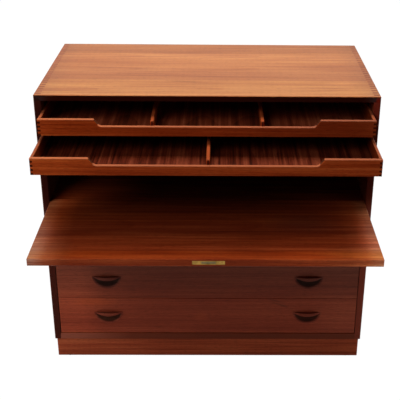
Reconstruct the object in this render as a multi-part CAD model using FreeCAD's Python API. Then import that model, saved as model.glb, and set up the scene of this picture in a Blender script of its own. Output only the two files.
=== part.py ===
# A drop-front drawer cabinet in oiled teak, on a recessed plinth.
# Behind the flap are two shallow trays and an open compartment, and below it are three drawers.
# It is drawn as it stands in use: the flap is open and level, and both trays are pulled part way out.
# Lengths are in millimetres. X runs to the right, Y to the back and Z up. The origin is on the floor,
# midway across the width, and midway between the back and the front edge of the open flap.
import FreeCAD, Part
import math
import os

Vector = FreeCAD.Vector

# Carcass
cabinet_width = 1000.0
cabinet_depth = 520.0
cabinet_height = 917.0
board_thickness = 19.0
edge_chamfer = 1.2
front_land = 2.5
front_bevel_depth = 5.0
carcass_finger_count = 53
back_thickness = 8.0
back_seat_width = 9.0
cut_overrun = 5.0

# Plinth and glides
plinth_height = 68.5
plinth_inset = 5.0
plinth_thickness = 18.0
plinth_corner_radius = 3.0
plinth_block_leg = 45.0
plinth_block_height = 50.0
glide_height = 2.0
glide_radius = 8.0
glide_chamfer = 0.8
glide_nail_width = 2.4
glide_nail_length = 14.0
glide_from_end = 38.0
nail_clearance = 0.05

# Flap, its tongued edge and the compartment floor
flap_thickness = 22.0
flap_setback = 5.0
flap_side_gap = 1.0
flap_top_gap = 1.5
flap_chamfer = 1.0
flap_tongue_reach = 20.0
flap_tongue_drop = 1.0
flap_rail_height = 42.0
floor_thickness = 19.0
floor_tenon_depth = 6.0
floor_tenon_setback = 80.0
floor_edge_gap = 0.6
stop_gap = 0.3
swing_clearance = 1.0

# Pivot hinges of the flap
hinge_thickness = 2.5
hinge_half_height = 7.0
hinge_length = 60.0
hinge_pin_radius = 2.5
hinge_pin_clearance = 0.05
hinge_pin_depth = 3.0

# Lock in the flap's front edge, a little to the right of its middle
lock_shift = 7.0
lock_plate_width = 89.0
lock_plate_height = 12.0
lock_plate_thickness = 2.0
lock_case_width = 66.0
lock_case_depth = 40.0
lock_case_height = 12.0
lock_case_wall = 2.0
lock_bolt_width = 38.0
lock_bolt_height = 6.0
lock_bolt_length = 20.0
lock_bolt_clearance = 0.3
lock_bolt_travel = 8.0
bolt_end_gap = 1.5
keyhole_radius = 2.0
keyhole_slot_width = 2.0
keyhole_slot_length = 7.0
keyhole_from_edge = 30.0
escutcheon_width = 18.0
escutcheon_height = 30.0
escutcheon_corner = 4.0
escutcheon_thickness = 1.5
strike_width = 64.0
strike_height = 12.0
strike_thickness = 1.5

# Trays
tray_side_gap = 1.0
tray_height = 49.0
tray_depth = 465.0
tray_front_thickness = 12.0
tray_side_thickness = 8.0
tray_back_thickness = 10.0
tray_bottom_thickness = 4.0
tray_bottom_rise = 4.0
tray_bottom_groove = 4.0
tray_finger_count = 8
tray_rim_chamfer = 1.2
tray_shoulder = 158.0
tray_slope_run = 16.0
tray_cut_depth = 21.0
tray_slope_top_round = 3.0
tray_slope_foot_round = 14.0
divider_thickness = 10.0
divider_drop = 7.0
divider_top_chamfer = 2.0
divider_nose_round = 6.0
upper_tray_below_top = 31.5
gap_between_trays = 13.0
lower_tray_out = 193.0
upper_tray_out = 63.0
upper_tray_dividers = 2
lower_tray_dividers = 1
lower_divider_shift = 4.0

# Tray runners
tray_runner_height = 9.0
tray_groove_depth = 4.0
tray_groove_rise = 24.0
tray_groove_stop = 12.0
tray_runner_start = 58.0

# Drawers
drawer_count = 3
drawer_gap = 1.0
drawer_bottom_gap = 2.0
drawer_front_height = 132.6
drawer_front_thickness = 20.0
drawer_setback = 6.0
drawer_front_side_gap = 1.5
drawer_edge_chamfer = 0.7
drawer_box_side_gap = 1.0
drawer_side_thickness = 12.0
drawer_side_height = 112.0
drawer_side_rise = 5.0
drawer_side_length = 450.0
drawer_blind_cover = 7.0
drawer_finger_count = 7
drawer_back_thickness = 12.0
drawer_back_drop = 6.0
drawer_bottom_thickness = 5.0
drawer_bottom_rise = 7.0
drawer_bottom_groove = 6.0
drawer_runner_height = 12.0
drawer_groove_depth = 6.0
drawer_groove_rise = 52.0
drawer_groove_stop = 10.0
drawer_runner_start = 46.0
runner_end_gap = 6.0
slide_clearance = 0.3

# Lip pulls, let into the drawer fronts
pull_width = 93.0
pull_height = 43.5
pull_top_above_drawer = 81.0
pull_from_side = 179.0
pull_proud = 1.0
pull_body_depth = 13.0
pull_rim = 4.5
pull_scoop_depth = 11.0
pull_roof = 4.0
lip_width = 88.0
lip_proud = 10.0
lip_drop = 11.5
lip_end_height = 3.0
lip_wall = 4.5

# Levels and planes that the sizes above lead to
half_width = cabinet_width / 2
inner_half = half_width - board_thickness
carcass_bottom_z = glide_height + plinth_height
inner_bottom_z = carcass_bottom_z + board_thickness
inner_top_z = cabinet_height - board_thickness
half_flap = flap_thickness / 2
swing_radius = math.hypot(flap_tongue_reach, half_flap)
drawer_pitch = drawer_front_height + drawer_gap
rail_bottom_z = inner_bottom_z + drawer_bottom_gap + drawer_count * drawer_pitch
rail_top_z = rail_bottom_z + flap_rail_height
pivot_z = rail_top_z + swing_clearance + swing_radius
compartment_floor_z = pivot_z + half_flap
pivot_setback = flap_setback + half_flap
flap_length = inner_top_z - flap_top_gap - pivot_z
flap_reach = flap_length - pivot_setback
back_y = (cabinet_depth + flap_reach) / 2
front_y = back_y - cabinet_depth
back_inner_y = back_y - back_thickness
pivot_y = front_y + pivot_setback
flap_front_y = front_y - flap_reach
flap_half_width = inner_half - flap_side_gap
drawer_face_y = front_y + drawer_setback
upper_tray_z = inner_top_z - upper_tray_below_top - tray_height
lower_tray_z = upper_tray_z - gap_between_trays - tray_height


def block(x_from, x_to, y_from, y_to, z_from, z_to):
    """A box between two corners."""
    size = (x_to - x_from, y_to - y_from, z_to - z_from)
    return Part.makeBox(*size, Vector(x_from, y_from, z_from))


def face_of(edges):
    """A flat face inside a closed run of edges."""
    return Part.Face(Part.Wire(Part.__sortEdges__(edges)))


def line(start, end):
    """A straight edge between two points."""
    return Part.LineSegment(Vector(*start), Vector(*end)).toShape()


def arc(start, middle, end):
    """A round edge through three points."""
    return Part.Arc(Vector(*start), Vector(*middle), Vector(*end)).toShape()


def polygon(points):
    """A flat face with straight sides."""
    corners = [Vector(*p) for p in points]
    return Part.Face(Part.makePolygon(corners + corners[:1]))


def other_side(shape):
    """The mirror image of a shape across the cabinet's middle."""
    return shape.mirror(Vector(0, 0, 0), Vector(1, 0, 0))


def edges_along(shape, direction, test):
    """The straight edges of a shape that run along a direction and whose middle passes a test."""
    axis = Vector(*direction)
    found = []
    for edge in shape.Edges:
        if edge.Curve.TypeId != "Part::GeomLine":
            continue
        run = edge.Vertexes[-1].Point - edge.Vertexes[0].Point
        straight = run.cross(axis).Length < 1e-6 * run.Length
        if straight and test(edge.CenterOfMass):
            found.append(edge)
    return found


def near(value, target):
    """Whether two lengths are the same, apart from rounding."""
    return abs(value - target) < 1e-4 * board_thickness


def save(name, *solids):
    """Writes one sub-part, after a check that it is sound."""
    shape = solids[0] if len(solids) == 1 else Part.makeCompound(list(solids))
    if not shape.isValid():
        raise ValueError(name + " is not a valid shape")
    shape.exportStep("parts/" + name + ".step")
    print(name, len(shape.Solids), "solids", round(shape.Volume), "mm3")


# Carcass

def bevel_plug():
    """The tapered space that bevels the carcass's front edges inward all round."""
    low_z = carcass_bottom_z + front_land
    high_z = cabinet_height - front_land
    wide = half_width - front_land
    return Part.makeWedge(
        -wide, front_y, low_z, inner_bottom_z, -inner_half,
        wide, front_y + front_bevel_depth, high_z, inner_top_z, inner_half,
    )


def make_back_panel():
    """The back panel, which sits in a rebate all round."""
    reach = inner_half + back_seat_width
    low_z = inner_bottom_z - back_seat_width
    high_z = inner_top_z + back_seat_width
    return block(-reach, reach, back_inner_y, back_y, low_z, high_z)


def carcass_shell():
    """The outer block that the four carcass boards are taken from, with its rebate and front bevel."""
    whole = block(-half_width, half_width, front_y, back_y, carcass_bottom_z, cabinet_height)
    whole = whole.makeChamfer(edge_chamfer, whole.Edges)
    return whole.cut([bevel_plug(), make_back_panel()])


def finger_slots(low_z, high_z, first):
    """Every second finger of a carcass corner joint on the right, counted from the front."""
    width = cabinet_depth / carcass_finger_count
    slots = []
    for i in range(first, carcass_finger_count, 2):
        start = front_y + i * width
        slots.append(block(inner_half, half_width, start, start + width, low_z, high_z))
    return slots


def both_ends(shapes):
    """The shapes and their mirror images."""
    return shapes + [other_side(s) for s in shapes]


def make_top_panel(shell):
    """The top, with the front finger of each corner joint, and the lock's seat underneath."""
    slab = block(-half_width, half_width, front_y, back_y, inner_top_z, cabinet_height)
    top = shell.common(slab)
    top = top.cut(both_ends(finger_slots(inner_top_z, cabinet_height, 1)))
    return top.cut([strike_plate_block(), strike_mortise()])


def make_bottom_panel(shell):
    """The bottom, whose corner joints start with a finger of the side."""
    slab = block(-half_width, half_width, front_y, back_y, carcass_bottom_z, inner_bottom_z)
    bottom = shell.common(slab)
    return bottom.cut(both_ends(finger_slots(carcass_bottom_z, inner_bottom_z, 0)))


def make_side_panel(shell):
    """The right side, with its finger joints, the floor's housing and the hinge's seat."""
    slab = block(inner_half, half_width, front_y, back_y, carcass_bottom_z, cabinet_height)
    side = shell.common(slab)
    side = side.cut(finger_slots(inner_top_z, cabinet_height, 0))
    side = side.cut(finger_slots(carcass_bottom_z, inner_bottom_z, 1))
    housing = block(
        inner_half, inner_half + floor_tenon_depth,
        front_y + floor_tenon_setback, back_inner_y,
        compartment_floor_z - floor_thickness, compartment_floor_z,
    )
    pin_end = inner_half + hinge_thickness + hinge_pin_depth
    return side.cut([housing, hinge_plate_blank(), pivot_hole(pin_end)])


def make_compartment_floor():
    """The floor behind the flap. Its front edge is undercut in an arc round the flap's pivot, so that the
    flap's back corner can turn past it with a tight seam above. The lip that this leaves is what the open
    flap's tongue bears up against. The floor's ends are let into the sides."""
    floor_bottom_z = compartment_floor_z - floor_thickness
    hollow = math.hypot(half_flap, half_flap) + floor_edge_gap
    lip_height = stop_gap - flap_tongue_drop
    nose_y = pivot_y + math.sqrt(hollow ** 2 - half_flap ** 2)
    lip_y = pivot_y + math.sqrt(hollow ** 2 - lip_height ** 2)
    middle = (math.asin(half_flap / hollow) + math.asin(lip_height / hollow)) / 2
    middle_y = pivot_y + hollow * math.cos(middle)
    middle_z = pivot_z + hollow * math.sin(middle)
    behind_y = pivot_y + swing_radius + swing_clearance
    lip_z = pivot_z + lip_height
    x = -inner_half
    edges = [
        arc((x, nose_y, compartment_floor_z), (x, middle_y, middle_z), (x, lip_y, lip_z)),
        line((x, lip_y, lip_z), (x, behind_y, lip_z)),
        line((x, behind_y, lip_z), (x, behind_y, floor_bottom_z)),
        line((x, behind_y, floor_bottom_z), (x, back_inner_y, floor_bottom_z)),
        line((x, back_inner_y, floor_bottom_z), (x, back_inner_y, compartment_floor_z)),
        line((x, back_inner_y, compartment_floor_z), (x, nose_y, compartment_floor_z)),
    ]
    floor = face_of(edges).extrude(Vector(2 * inner_half, 0, 0))
    reach = inner_half + floor_tenon_depth
    housed = block(
        -reach, reach,
        front_y + floor_tenon_setback, back_inner_y,
        floor_bottom_z, compartment_floor_z,
    )
    return floor.fuse(housed).removeSplitter()


def make_flap_rail():
    """The fixed rail between the drawers and the flap, low enough for the flap's edge to swing past."""
    back = drawer_face_y + drawer_front_thickness
    rail = block(-inner_half, inner_half, drawer_face_y, back, rail_bottom_z, rail_top_z)
    front_edges = edges_along(rail, (1, 0, 0), lambda p: near(p.y, drawer_face_y))
    return rail.makeChamfer(drawer_edge_chamfer, front_edges)


# Plinth

def plinth_ring():
    """The plinth's outer block, with its upright corners rounded."""
    reach = half_width - plinth_inset
    near_y = front_y + plinth_inset
    far_y = back_y - plinth_inset
    ring = block(-reach, reach, near_y, far_y, glide_height, carcass_bottom_z)
    upright = edges_along(ring, (0, 0, 1), lambda p: True)
    return ring.makeFillet(plinth_corner_radius, upright)


def make_plinth_boards():
    """The four plinth boards, mitred at the corners and drilled for the glides' nails."""
    reach = half_width - plinth_inset
    near_y = front_y + plinth_inset
    far_y = back_y - plinth_inset
    inside = reach - plinth_thickness
    near_inside = near_y + plinth_thickness
    far_inside = far_y - plinth_thickness
    outer = [(-reach, near_y), (reach, near_y), (reach, far_y), (-reach, far_y)]
    inner = [
        (-inside, near_inside), (inside, near_inside),
        (inside, far_inside), (-inside, far_inside),
    ]
    ring = plinth_ring()
    nails = [glide(x, y, nail_clearance) for x, y in glide_places()]
    boards = []
    for i in range(len(outer)):
        j = (i + 1) % len(outer)
        plan = [outer[i], outer[j], inner[j], inner[i]]
        prism = polygon([(x, y, glide_height) for x, y in plan])
        prism = prism.extrude(Vector(0, 0, plinth_height))
        boards.append(ring.common(prism).cut(nails))
    return boards


def make_plinth_blocks():
    """Four three-cornered blocks glued inside the plinth's corners, under the bottom."""
    inside = half_width - plinth_inset - plinth_thickness
    near_inside = front_y + plinth_inset + plinth_thickness
    far_inside = back_y - plinth_inset - plinth_thickness
    low_z = carcass_bottom_z - plinth_block_height
    blocks = []
    for corner_y, inward in ((near_inside, 1), (far_inside, -1)):
        plan = [
            (inside, corner_y, low_z),
            (inside - plinth_block_leg, corner_y, low_z),
            (inside, corner_y + inward * plinth_block_leg, low_z),
        ]
        wedge = polygon(plan).extrude(Vector(0, 0, plinth_block_height))
        blocks += both_ends([wedge])
    return blocks


def glide_places():
    """Where the four glides stand, under the front and back plinth boards."""
    x = half_width - plinth_inset - glide_from_end
    middle = plinth_inset + plinth_thickness / 2
    return [
        (side * x, y)
        for side in (-1, 1)
        for y in (front_y + middle, back_y - middle)
    ]


def glide(x, y, clearance=0.0):
    """A glide with its square nail, or, with a clearance, the hole that the nail leaves."""
    half = glide_nail_width / 2 + clearance
    nail_end_z = glide_height + glide_nail_length + clearance
    nail = block(x - half, x + half, y - half, y + half, glide_height, nail_end_z)
    if clearance:
        return nail
    disc = Part.makeCylinder(glide_radius, glide_height, Vector(x, y, 0))
    rim = [e for e in disc.Edges if near(e.CenterOfMass.z, 0) and e.Closed]
    disc = disc.makeChamfer(glide_chamfer, rim)
    return disc.fuse(nail).removeSplitter()


# Flap, hinges and lock

def make_flap_panel():
    """The flap, open and level. Its square back edge has a tongue below, which catches under the lip of
    the floor and holds the open flap level."""
    low_z = pivot_z - half_flap
    high_z = pivot_z + half_flap
    tongue_y = pivot_y + flap_tongue_reach
    tongue_z = pivot_z - flap_tongue_drop
    edge_y = pivot_y + half_flap
    outline = [
        (flap_front_y, high_z), (flap_front_y, low_z), (tongue_y, low_z),
        (tongue_y, tongue_z), (edge_y, tongue_z), (edge_y, high_z),
    ]
    flap = polygon([(-flap_half_width, y, z) for y, z in outline])
    flap = flap.extrude(Vector(2 * flap_half_width, 0, 0))
    front_edges = edges_along(flap, (1, 0, 0), lambda p: near(p.y, flap_front_y))
    end_edges = edges_along(
        flap, (0, 1, 0), lambda p: p.y < pivot_y and near(abs(p.x), flap_half_width),
    )
    flap = flap.makeChamfer(flap_chamfer, front_edges + end_edges)
    leaves = both_ends([hinge_leaf_blank()])
    return flap.cut(leaves + [lock_plate_block(), lock_case_block(), keyhole(flap_thickness)])


def hinge_strip(x_from, length):
    """A flat brass strip that lies along Y from the pivot, round at the pivot's end."""
    high_z = pivot_z + hinge_half_height
    low_z = pivot_z - hinge_half_height
    tip_y = pivot_y - math.copysign(hinge_half_height, length)
    end_y = pivot_y + length
    edges = [
        line((x_from, pivot_y, high_z), (x_from, end_y, high_z)),
        line((x_from, end_y, high_z), (x_from, end_y, low_z)),
        line((x_from, end_y, low_z), (x_from, pivot_y, low_z)),
        arc((x_from, pivot_y, low_z), (x_from, tip_y, pivot_z), (x_from, pivot_y, high_z)),
    ]
    return face_of(edges).extrude(Vector(hinge_thickness, 0, 0))


def hinge_plate_blank():
    """The right hinge plate before its hole is drilled, let flush into the side panel."""
    return hinge_strip(inner_half, hinge_length)


def hinge_leaf_blank():
    """The right hinge leaf without its pin, let flush into the flap's end."""
    return hinge_strip(flap_half_width - hinge_thickness, -hinge_length)


def pivot_hole(end_x):
    """The hole that the right hinge pin turns in."""
    radius = hinge_pin_radius + hinge_pin_clearance
    return Part.makeCylinder(
        radius, end_x - inner_half + cut_overrun,
        Vector(inner_half - cut_overrun, pivot_y, pivot_z), Vector(1, 0, 0),
    )


def make_hinge_plate():
    """The right hinge plate, fixed to the side panel."""
    return hinge_plate_blank().cut(pivot_hole(inner_half + hinge_thickness))


def make_hinge_leaf():
    """The right hinge leaf with its pin, fixed to the flap."""
    start = flap_half_width - hinge_thickness
    length = hinge_thickness + flap_side_gap + hinge_thickness
    pin = Part.makeCylinder(
        hinge_pin_radius, length, Vector(start, pivot_y, pivot_z), Vector(1, 0, 0),
    )
    return hinge_leaf_blank().fuse(pin).removeSplitter()


def lock_plate_block():
    """The lock's face plate, flush with the flap's front edge."""
    return block(
        lock_shift - lock_plate_width / 2, lock_shift + lock_plate_width / 2,
        flap_front_y, flap_front_y + lock_plate_thickness,
        pivot_z - lock_plate_height / 2, pivot_z + lock_plate_height / 2,
    )


def lock_case_block():
    """The lock's case, in a mortise behind its face plate."""
    start = flap_front_y + lock_plate_thickness
    return block(
        lock_shift - lock_case_width / 2, lock_shift + lock_case_width / 2,
        start, start + lock_case_depth,
        pivot_z - lock_case_height / 2, pivot_z + lock_case_height / 2,
    )


def bolt_way(start, end):
    """The space that the bolt slides in, along Y."""
    wide = lock_bolt_width / 2 + lock_bolt_clearance
    high = lock_bolt_height / 2 + lock_bolt_clearance
    return block(lock_shift - wide, lock_shift + wide, start, end, pivot_z - high, pivot_z + high)


def keyhole(height):
    """A keyhole cut upward from the flap's outer face, which is its underside while it is open."""
    centre_y = flap_front_y + keyhole_from_edge
    low_z = pivot_z - half_flap - escutcheon_thickness
    top_z = pivot_z - half_flap + height / 2
    slot_half = keyhole_slot_width / 2
    barrel = Part.makeCylinder(keyhole_radius, top_z - low_z, Vector(lock_shift, centre_y, low_z))
    slot = block(
        lock_shift - slot_half, lock_shift + slot_half,
        centre_y, centre_y + keyhole_slot_length, low_z, top_z,
    )
    return barrel.fuse(slot).removeSplitter()


def make_lock_plate():
    """The face plate with the bolt's slot."""
    end = flap_front_y + lock_plate_thickness
    return lock_plate_block().cut(bolt_way(flap_front_y - cut_overrun, end + cut_overrun))


def make_lock_case():
    """The case, hollow round the bolt and open at the keyhole."""
    start = flap_front_y + lock_plate_thickness
    hollow = block(
        lock_shift - lock_case_width / 2 + lock_case_wall,
        lock_shift + lock_case_width / 2 - lock_case_wall,
        start + lock_case_wall, start + lock_case_depth - lock_case_wall,
        pivot_z - lock_case_height / 2 + lock_case_wall,
        pivot_z + lock_case_height / 2 - lock_case_wall,
    )
    mouth = bolt_way(start - cut_overrun, start + lock_case_wall + cut_overrun)
    return lock_case_block().cut([hollow, mouth, keyhole(flap_thickness)])


def make_lock_bolt():
    """The bolt, drawn back with its end just inside the face plate."""
    start = flap_front_y + lock_plate_thickness / 2
    bolt = block(
        lock_shift - lock_bolt_width / 2, lock_shift + lock_bolt_width / 2,
        start, start + lock_bolt_length,
        pivot_z - lock_bolt_height / 2, pivot_z + lock_bolt_height / 2,
    )
    return bolt


def make_escutcheon():
    """The keyhole plate on the flap's outer face, with its corners clipped."""
    centre_y = flap_front_y + keyhole_from_edge
    high_z = pivot_z - half_flap
    plate = block(
        lock_shift - escutcheon_width / 2, lock_shift + escutcheon_width / 2,
        centre_y - escutcheon_height / 2, centre_y + escutcheon_height / 2,
        high_z - escutcheon_thickness, high_z,
    )
    corners = edges_along(plate, (0, 0, 1), lambda p: True)
    return plate.makeChamfer(escutcheon_corner, corners).cut(keyhole(flap_thickness))


def strike_plate_block():
    """The strike plate's place in the underside of the top, over the closed flap's bolt."""
    return block(
        lock_shift - strike_width / 2, lock_shift + strike_width / 2,
        pivot_y - strike_height / 2, pivot_y + strike_height / 2,
        inner_top_z, inner_top_z + strike_thickness,
    )


def strike_mortise():
    """The mortise above the strike plate that the bolt shoots into."""
    wide = lock_bolt_width / 2 + lock_bolt_clearance
    deep = lock_bolt_height / 2 + lock_bolt_clearance
    top_z = inner_top_z + lock_bolt_travel + bolt_end_gap
    return block(
        lock_shift - wide, lock_shift + wide,
        pivot_y - deep, pivot_y + deep, inner_top_z, top_z,
    )


def make_lock_strike():
    """The strike plate with the bolt's slot."""
    return strike_plate_block().cut(strike_mortise())


# Trays

tray_half = inner_half - tray_side_gap


def end_fingers(x_from, x_to, y_from, y_to, low_z, height, count, first):
    """Every second finger of an upright corner joint, counted down from the top."""
    step = height / count
    slots = []
    for i in range(first, count, 2):
        top = low_z + height - i * step
        slots.append(block(x_from, x_to, y_from, y_to, top - step, top))
    return slots


def make_tray_bottom(face_y, low_z):
    """The tray's bottom, let into grooves all round."""
    reach = tray_half - tray_side_thickness + tray_bottom_groove
    start = face_y + tray_front_thickness - tray_bottom_groove
    end = face_y + tray_depth - tray_back_thickness + tray_bottom_groove
    bottom_z = low_z + tray_bottom_rise
    return block(-reach, reach, start, end, bottom_z, bottom_z + tray_bottom_thickness)


def make_tray_front(face_y, low_z):
    """The tray's front, cut away between two shoulders so that the contents can be seen and lifted out."""
    top_z = low_z + tray_height
    dip_z = top_z - tray_cut_depth
    shoulder_x = tray_half - tray_shoulder
    foot_x = shoulder_x - tray_slope_run
    outline = [
        (-tray_half, low_z), (tray_half, low_z), (tray_half, top_z),
        (shoulder_x, top_z), (foot_x, dip_z), (-foot_x, dip_z),
        (-shoulder_x, top_z), (-tray_half, top_z),
    ]
    board = polygon([(x, face_y, z) for x, z in outline])
    board = board.extrude(Vector(0, tray_front_thickness, 0))
    feet = edges_along(board, (0, 1, 0), lambda p: near(abs(p.x), foot_x))
    board = board.makeFillet(tray_slope_foot_round, feet)
    shoulders = edges_along(board, (0, 1, 0), lambda p: near(abs(p.x), shoulder_x))
    board = board.makeFillet(tray_slope_top_round, shoulders)
    rim = [
        edge for edge in board.Edges
        if edge.CenterOfMass.z > dip_z - tray_rim_chamfer
        and abs(edge.CenterOfMass.x) < tray_half - tray_rim_chamfer
        and (near(edge.CenterOfMass.y, face_y) or near(edge.CenterOfMass.y, face_y + tray_front_thickness))
    ]
    board = board.makeChamfer(tray_rim_chamfer, rim)
    slots = end_fingers(
        tray_half - tray_side_thickness, tray_half, face_y, face_y + tray_front_thickness,
        low_z, tray_height, tray_finger_count, 1,
    )
    return board.cut(both_ends(slots) + [make_tray_bottom(face_y, low_z)])


def make_tray_side(face_y, low_z):
    """The tray's right side, with fingers at the front and a groove for the runner."""
    board = block(
        tray_half - tray_side_thickness, tray_half, face_y, face_y + tray_depth,
        low_z, low_z + tray_height,
    )
    rim = edges_along(board, (0, 1, 0), lambda p: near(p.z, low_z + tray_height))
    board = board.makeChamfer(tray_rim_chamfer, rim)
    slots = end_fingers(
        tray_half - tray_side_thickness, tray_half, face_y, face_y + tray_front_thickness,
        low_z, tray_height, tray_finger_count, 0,
    )
    groove = block(
        tray_half - tray_groove_depth, tray_half,
        face_y + tray_front_thickness + tray_groove_stop, face_y + tray_depth,
        low_z + tray_groove_rise, low_z + tray_groove_rise + tray_runner_height + 2 * slide_clearance,
    )
    return board.cut(slots + [groove, make_tray_bottom(face_y, low_z)])


def make_tray_back(face_y, low_z):
    """The tray's back, between its sides."""
    reach = tray_half - tray_side_thickness
    start = face_y + tray_depth - tray_back_thickness
    board = block(-reach, reach, start, face_y + tray_depth, low_z, low_z + tray_height)
    rim = edges_along(board, (1, 0, 0), lambda p: near(p.z, low_z + tray_height))
    board = board.makeChamfer(tray_rim_chamfer, rim)
    return board.cut(make_tray_bottom(face_y, low_z))


def make_tray_dividers(face_y, low_z, count, shift):
    """The tray's dividers, evenly spaced but for a shift, with bevelled tops and rounded noses."""
    span = 2 * (tray_half - tray_side_thickness)
    start = face_y + tray_front_thickness
    end = face_y + tray_depth - tray_back_thickness
    floor_z = low_z + tray_bottom_rise + tray_bottom_thickness
    top_z = low_z + tray_height - divider_drop
    dividers = []
    for i in range(count):
        x = -span / 2 + span * (i + 1) / (count + 1) + shift
        board = block(x - divider_thickness / 2, x + divider_thickness / 2, start, end, floor_z, top_z)
        nose = edges_along(board, (1, 0, 0), lambda p: near(p.y, start) and near(p.z, top_z))
        board = board.makeFillet(divider_nose_round, nose)
        top_edges = edges_along(board, (0, 1, 0), lambda p: near(p.z, top_z))
        board = board.makeChamfer(divider_top_chamfer, top_edges)
        dividers.append(board)
    return dividers


def make_tray_runners(low_z):
    """The two wooden runners that a tray's grooves slide on."""
    bottom_z = low_z + tray_groove_rise + slide_clearance
    inner_x = tray_half - tray_groove_depth + slide_clearance
    runner = block(
        inner_x, inner_half, front_y + tray_runner_start, back_inner_y - runner_end_gap,
        bottom_z, bottom_z + tray_runner_height,
    )
    upright = edges_along(runner, (0, 0, 1), lambda p: near(p.x, inner_x))
    return both_ends([runner.makeChamfer(tray_groove_depth / 2, upright)])


def save_tray(name, low_z, out, count, shift):
    """Makes one tray, pulled out to its place, and its runners."""
    face_y = front_y - out
    side = make_tray_side(face_y, low_z)
    dividers = make_tray_dividers(face_y, low_z, count, shift)
    save(name + "_tray_front", make_tray_front(face_y, low_z))
    save(name + "_tray_right_side", side)
    save(name + "_tray_left_side", other_side(side))
    save(name + "_tray_back", make_tray_back(face_y, low_z))
    save(name + "_tray_bottom", make_tray_bottom(face_y, low_z))
    save(name + ("_tray_divider" if count == 1 else "_tray_dividers"), *dividers)
    save(name + "_tray_runners", *make_tray_runners(low_z))


# Drawers

drawer_half = inner_half - drawer_box_side_gap
drawer_end_y = drawer_face_y + drawer_front_thickness + drawer_side_length


def half_moon(x, top_z, radius_cut, y_from, y_to):
    """A half-moon prism along Y: flat on top, round below, drawn in from a pull's outline by radius_cut."""
    half = pull_width / 2
    radius = (half ** 2 + pull_height ** 2) / (2 * pull_height)
    centre_z = top_z - pull_height + radius
    disc = Part.makeCylinder(
        radius - radius_cut, y_to - y_from, Vector(x, y_from, centre_z), Vector(0, 1, 0),
    )
    below = block(
        x - pull_width, x + pull_width, y_from, y_to, top_z - pull_width, top_z,
    )
    return disc.common(below)


def lip_plan(x, half, proud, low_z, high_z):
    """An upright prism whose plan is a shallow curve in front of the drawer's face."""
    edges = [
        line((x - half, drawer_face_y, low_z), (x + half, drawer_face_y, low_z)),
        arc(
            (x + half, drawer_face_y, low_z),
            (x, drawer_face_y - proud, low_z),
            (x - half, drawer_face_y, low_z),
        ),
    ]
    return face_of(edges).extrude(Vector(0, 0, high_z - low_z))


def make_pull(x, drawer_z):
    """A pull: a half-moon bowl let into the drawer front, under a curved lip to hook the fingers behind."""
    top_z = drawer_z + pull_top_above_drawer
    rim_y = drawer_face_y - pull_proud
    body = half_moon(x, top_z, 0.0, rim_y, drawer_face_y + pull_body_depth)

    half = lip_width / 2
    lens = [
        line((x - half, drawer_face_y, top_z), (x + half, drawer_face_y, top_z)),
        line((x + half, drawer_face_y, top_z), (x + half, drawer_face_y, top_z - lip_end_height)),
        arc(
            (x + half, drawer_face_y, top_z - lip_end_height),
            (x, drawer_face_y, top_z - lip_drop),
            (x - half, drawer_face_y, top_z - lip_end_height),
        ),
        line((x - half, drawer_face_y, top_z - lip_end_height), (x - half, drawer_face_y, top_z)),
    ]
    front_view = face_of(lens).extrude(Vector(0, -lip_proud, 0))
    lip = front_view.common(lip_plan(x, half, lip_proud, top_z - lip_drop, top_z))

    radius = ((pull_width / 2) ** 2 + pull_height ** 2) / (2 * pull_height)
    mouth = radius - pull_rim
    ball = (mouth ** 2 + pull_scoop_depth ** 2) / (2 * pull_scoop_depth)
    centre = Vector(x, drawer_face_y + pull_scoop_depth - ball, top_z - pull_height + radius)
    scoop = Part.makeSphere(ball, centre)
    roof_z = top_z - pull_roof
    scoop = scoop.common(
        half_moon(x, roof_z, pull_rim, rim_y - cut_overrun, drawer_face_y + pull_scoop_depth),
    )
    hollow_half = half - lip_wall
    hollow = lip_plan(x, hollow_half, lip_proud - lip_wall, top_z - lip_drop, roof_z)
    body = body.cut(scoop)
    return body.fuse(lip.cut(hollow)).removeSplitter()


def pull_places():
    """Where the two pulls of a drawer are, across its width."""
    return (-half_width + pull_from_side, half_width - pull_from_side)


def make_drawer_bottom(side_z):
    """The drawer's bottom, let into the front and sides and running under the back."""
    reach = drawer_half - drawer_side_thickness + drawer_bottom_groove
    start = drawer_face_y + drawer_front_thickness - drawer_bottom_groove
    bottom_z = side_z + drawer_bottom_rise
    return block(-reach, reach, start, drawer_end_y, bottom_z, bottom_z + drawer_bottom_thickness)


def drawer_fingers(side_z, first):
    """The half-blind fingers that join the right side to the drawer front, hidden from in front."""
    return end_fingers(
        drawer_half - drawer_side_thickness, drawer_half,
        drawer_face_y + drawer_blind_cover, drawer_face_y + drawer_front_thickness,
        side_z, drawer_side_height, drawer_finger_count, first,
    )


def make_drawer_front(drawer_z, side_z):
    """The drawer front, with seats for the pulls, the sides' fingers and the bottom."""
    reach = inner_half - drawer_front_side_gap
    board = block(
        -reach, reach, drawer_face_y, drawer_face_y + drawer_front_thickness,
        drawer_z, drawer_z + drawer_front_height,
    )
    face_edges = [e for e in board.Edges if near(e.CenterOfMass.y, drawer_face_y)]
    board = board.makeChamfer(drawer_edge_chamfer, face_edges)
    top_z = drawer_z + pull_top_above_drawer
    seats = [
        half_moon(x, top_z, 0.0, drawer_face_y - cut_overrun, drawer_face_y + pull_body_depth)
        for x in pull_places()
    ]
    return board.cut(seats + both_ends(drawer_fingers(side_z, 1)) + [make_drawer_bottom(side_z)])


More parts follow.
